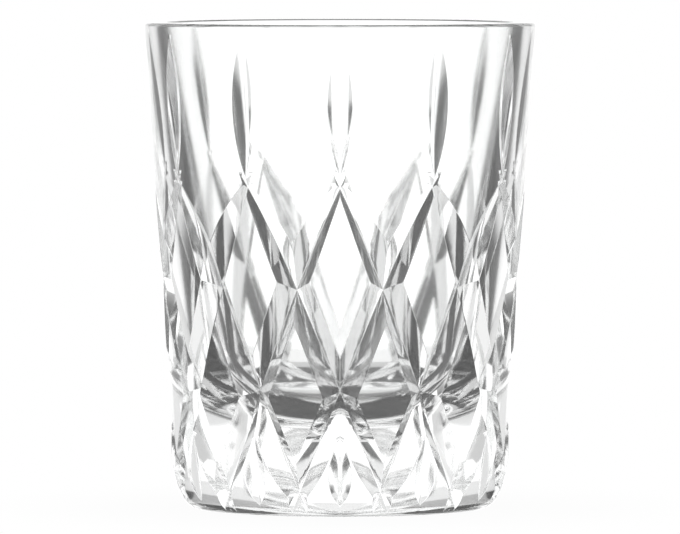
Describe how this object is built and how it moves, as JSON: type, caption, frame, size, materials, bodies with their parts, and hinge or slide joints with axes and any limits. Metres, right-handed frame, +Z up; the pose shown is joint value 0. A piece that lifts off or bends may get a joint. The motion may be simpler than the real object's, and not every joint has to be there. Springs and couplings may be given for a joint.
{
  "type": "whiskey tumbler",
  "caption": "Heavy-based cut-glass tumbler: tapering wall with upright leaf cuts above crossing slanted V cuts, rounded heel, thick solid foot and an open round bowl.",
  "frame": {"origin": "centre of the plane that the foot ring rests on", "axes": "+Z up along the glass's axis; +X through the middle of one upright leaf cut"},
  "size_m": [0.0806, 0.0806, 0.1],
  "materials": {
    "crystal": "polished clear crystal glass"
  },
  "bodies": {
    "root": {"tumbler": "crystal"}
  },
  "joints": []
}
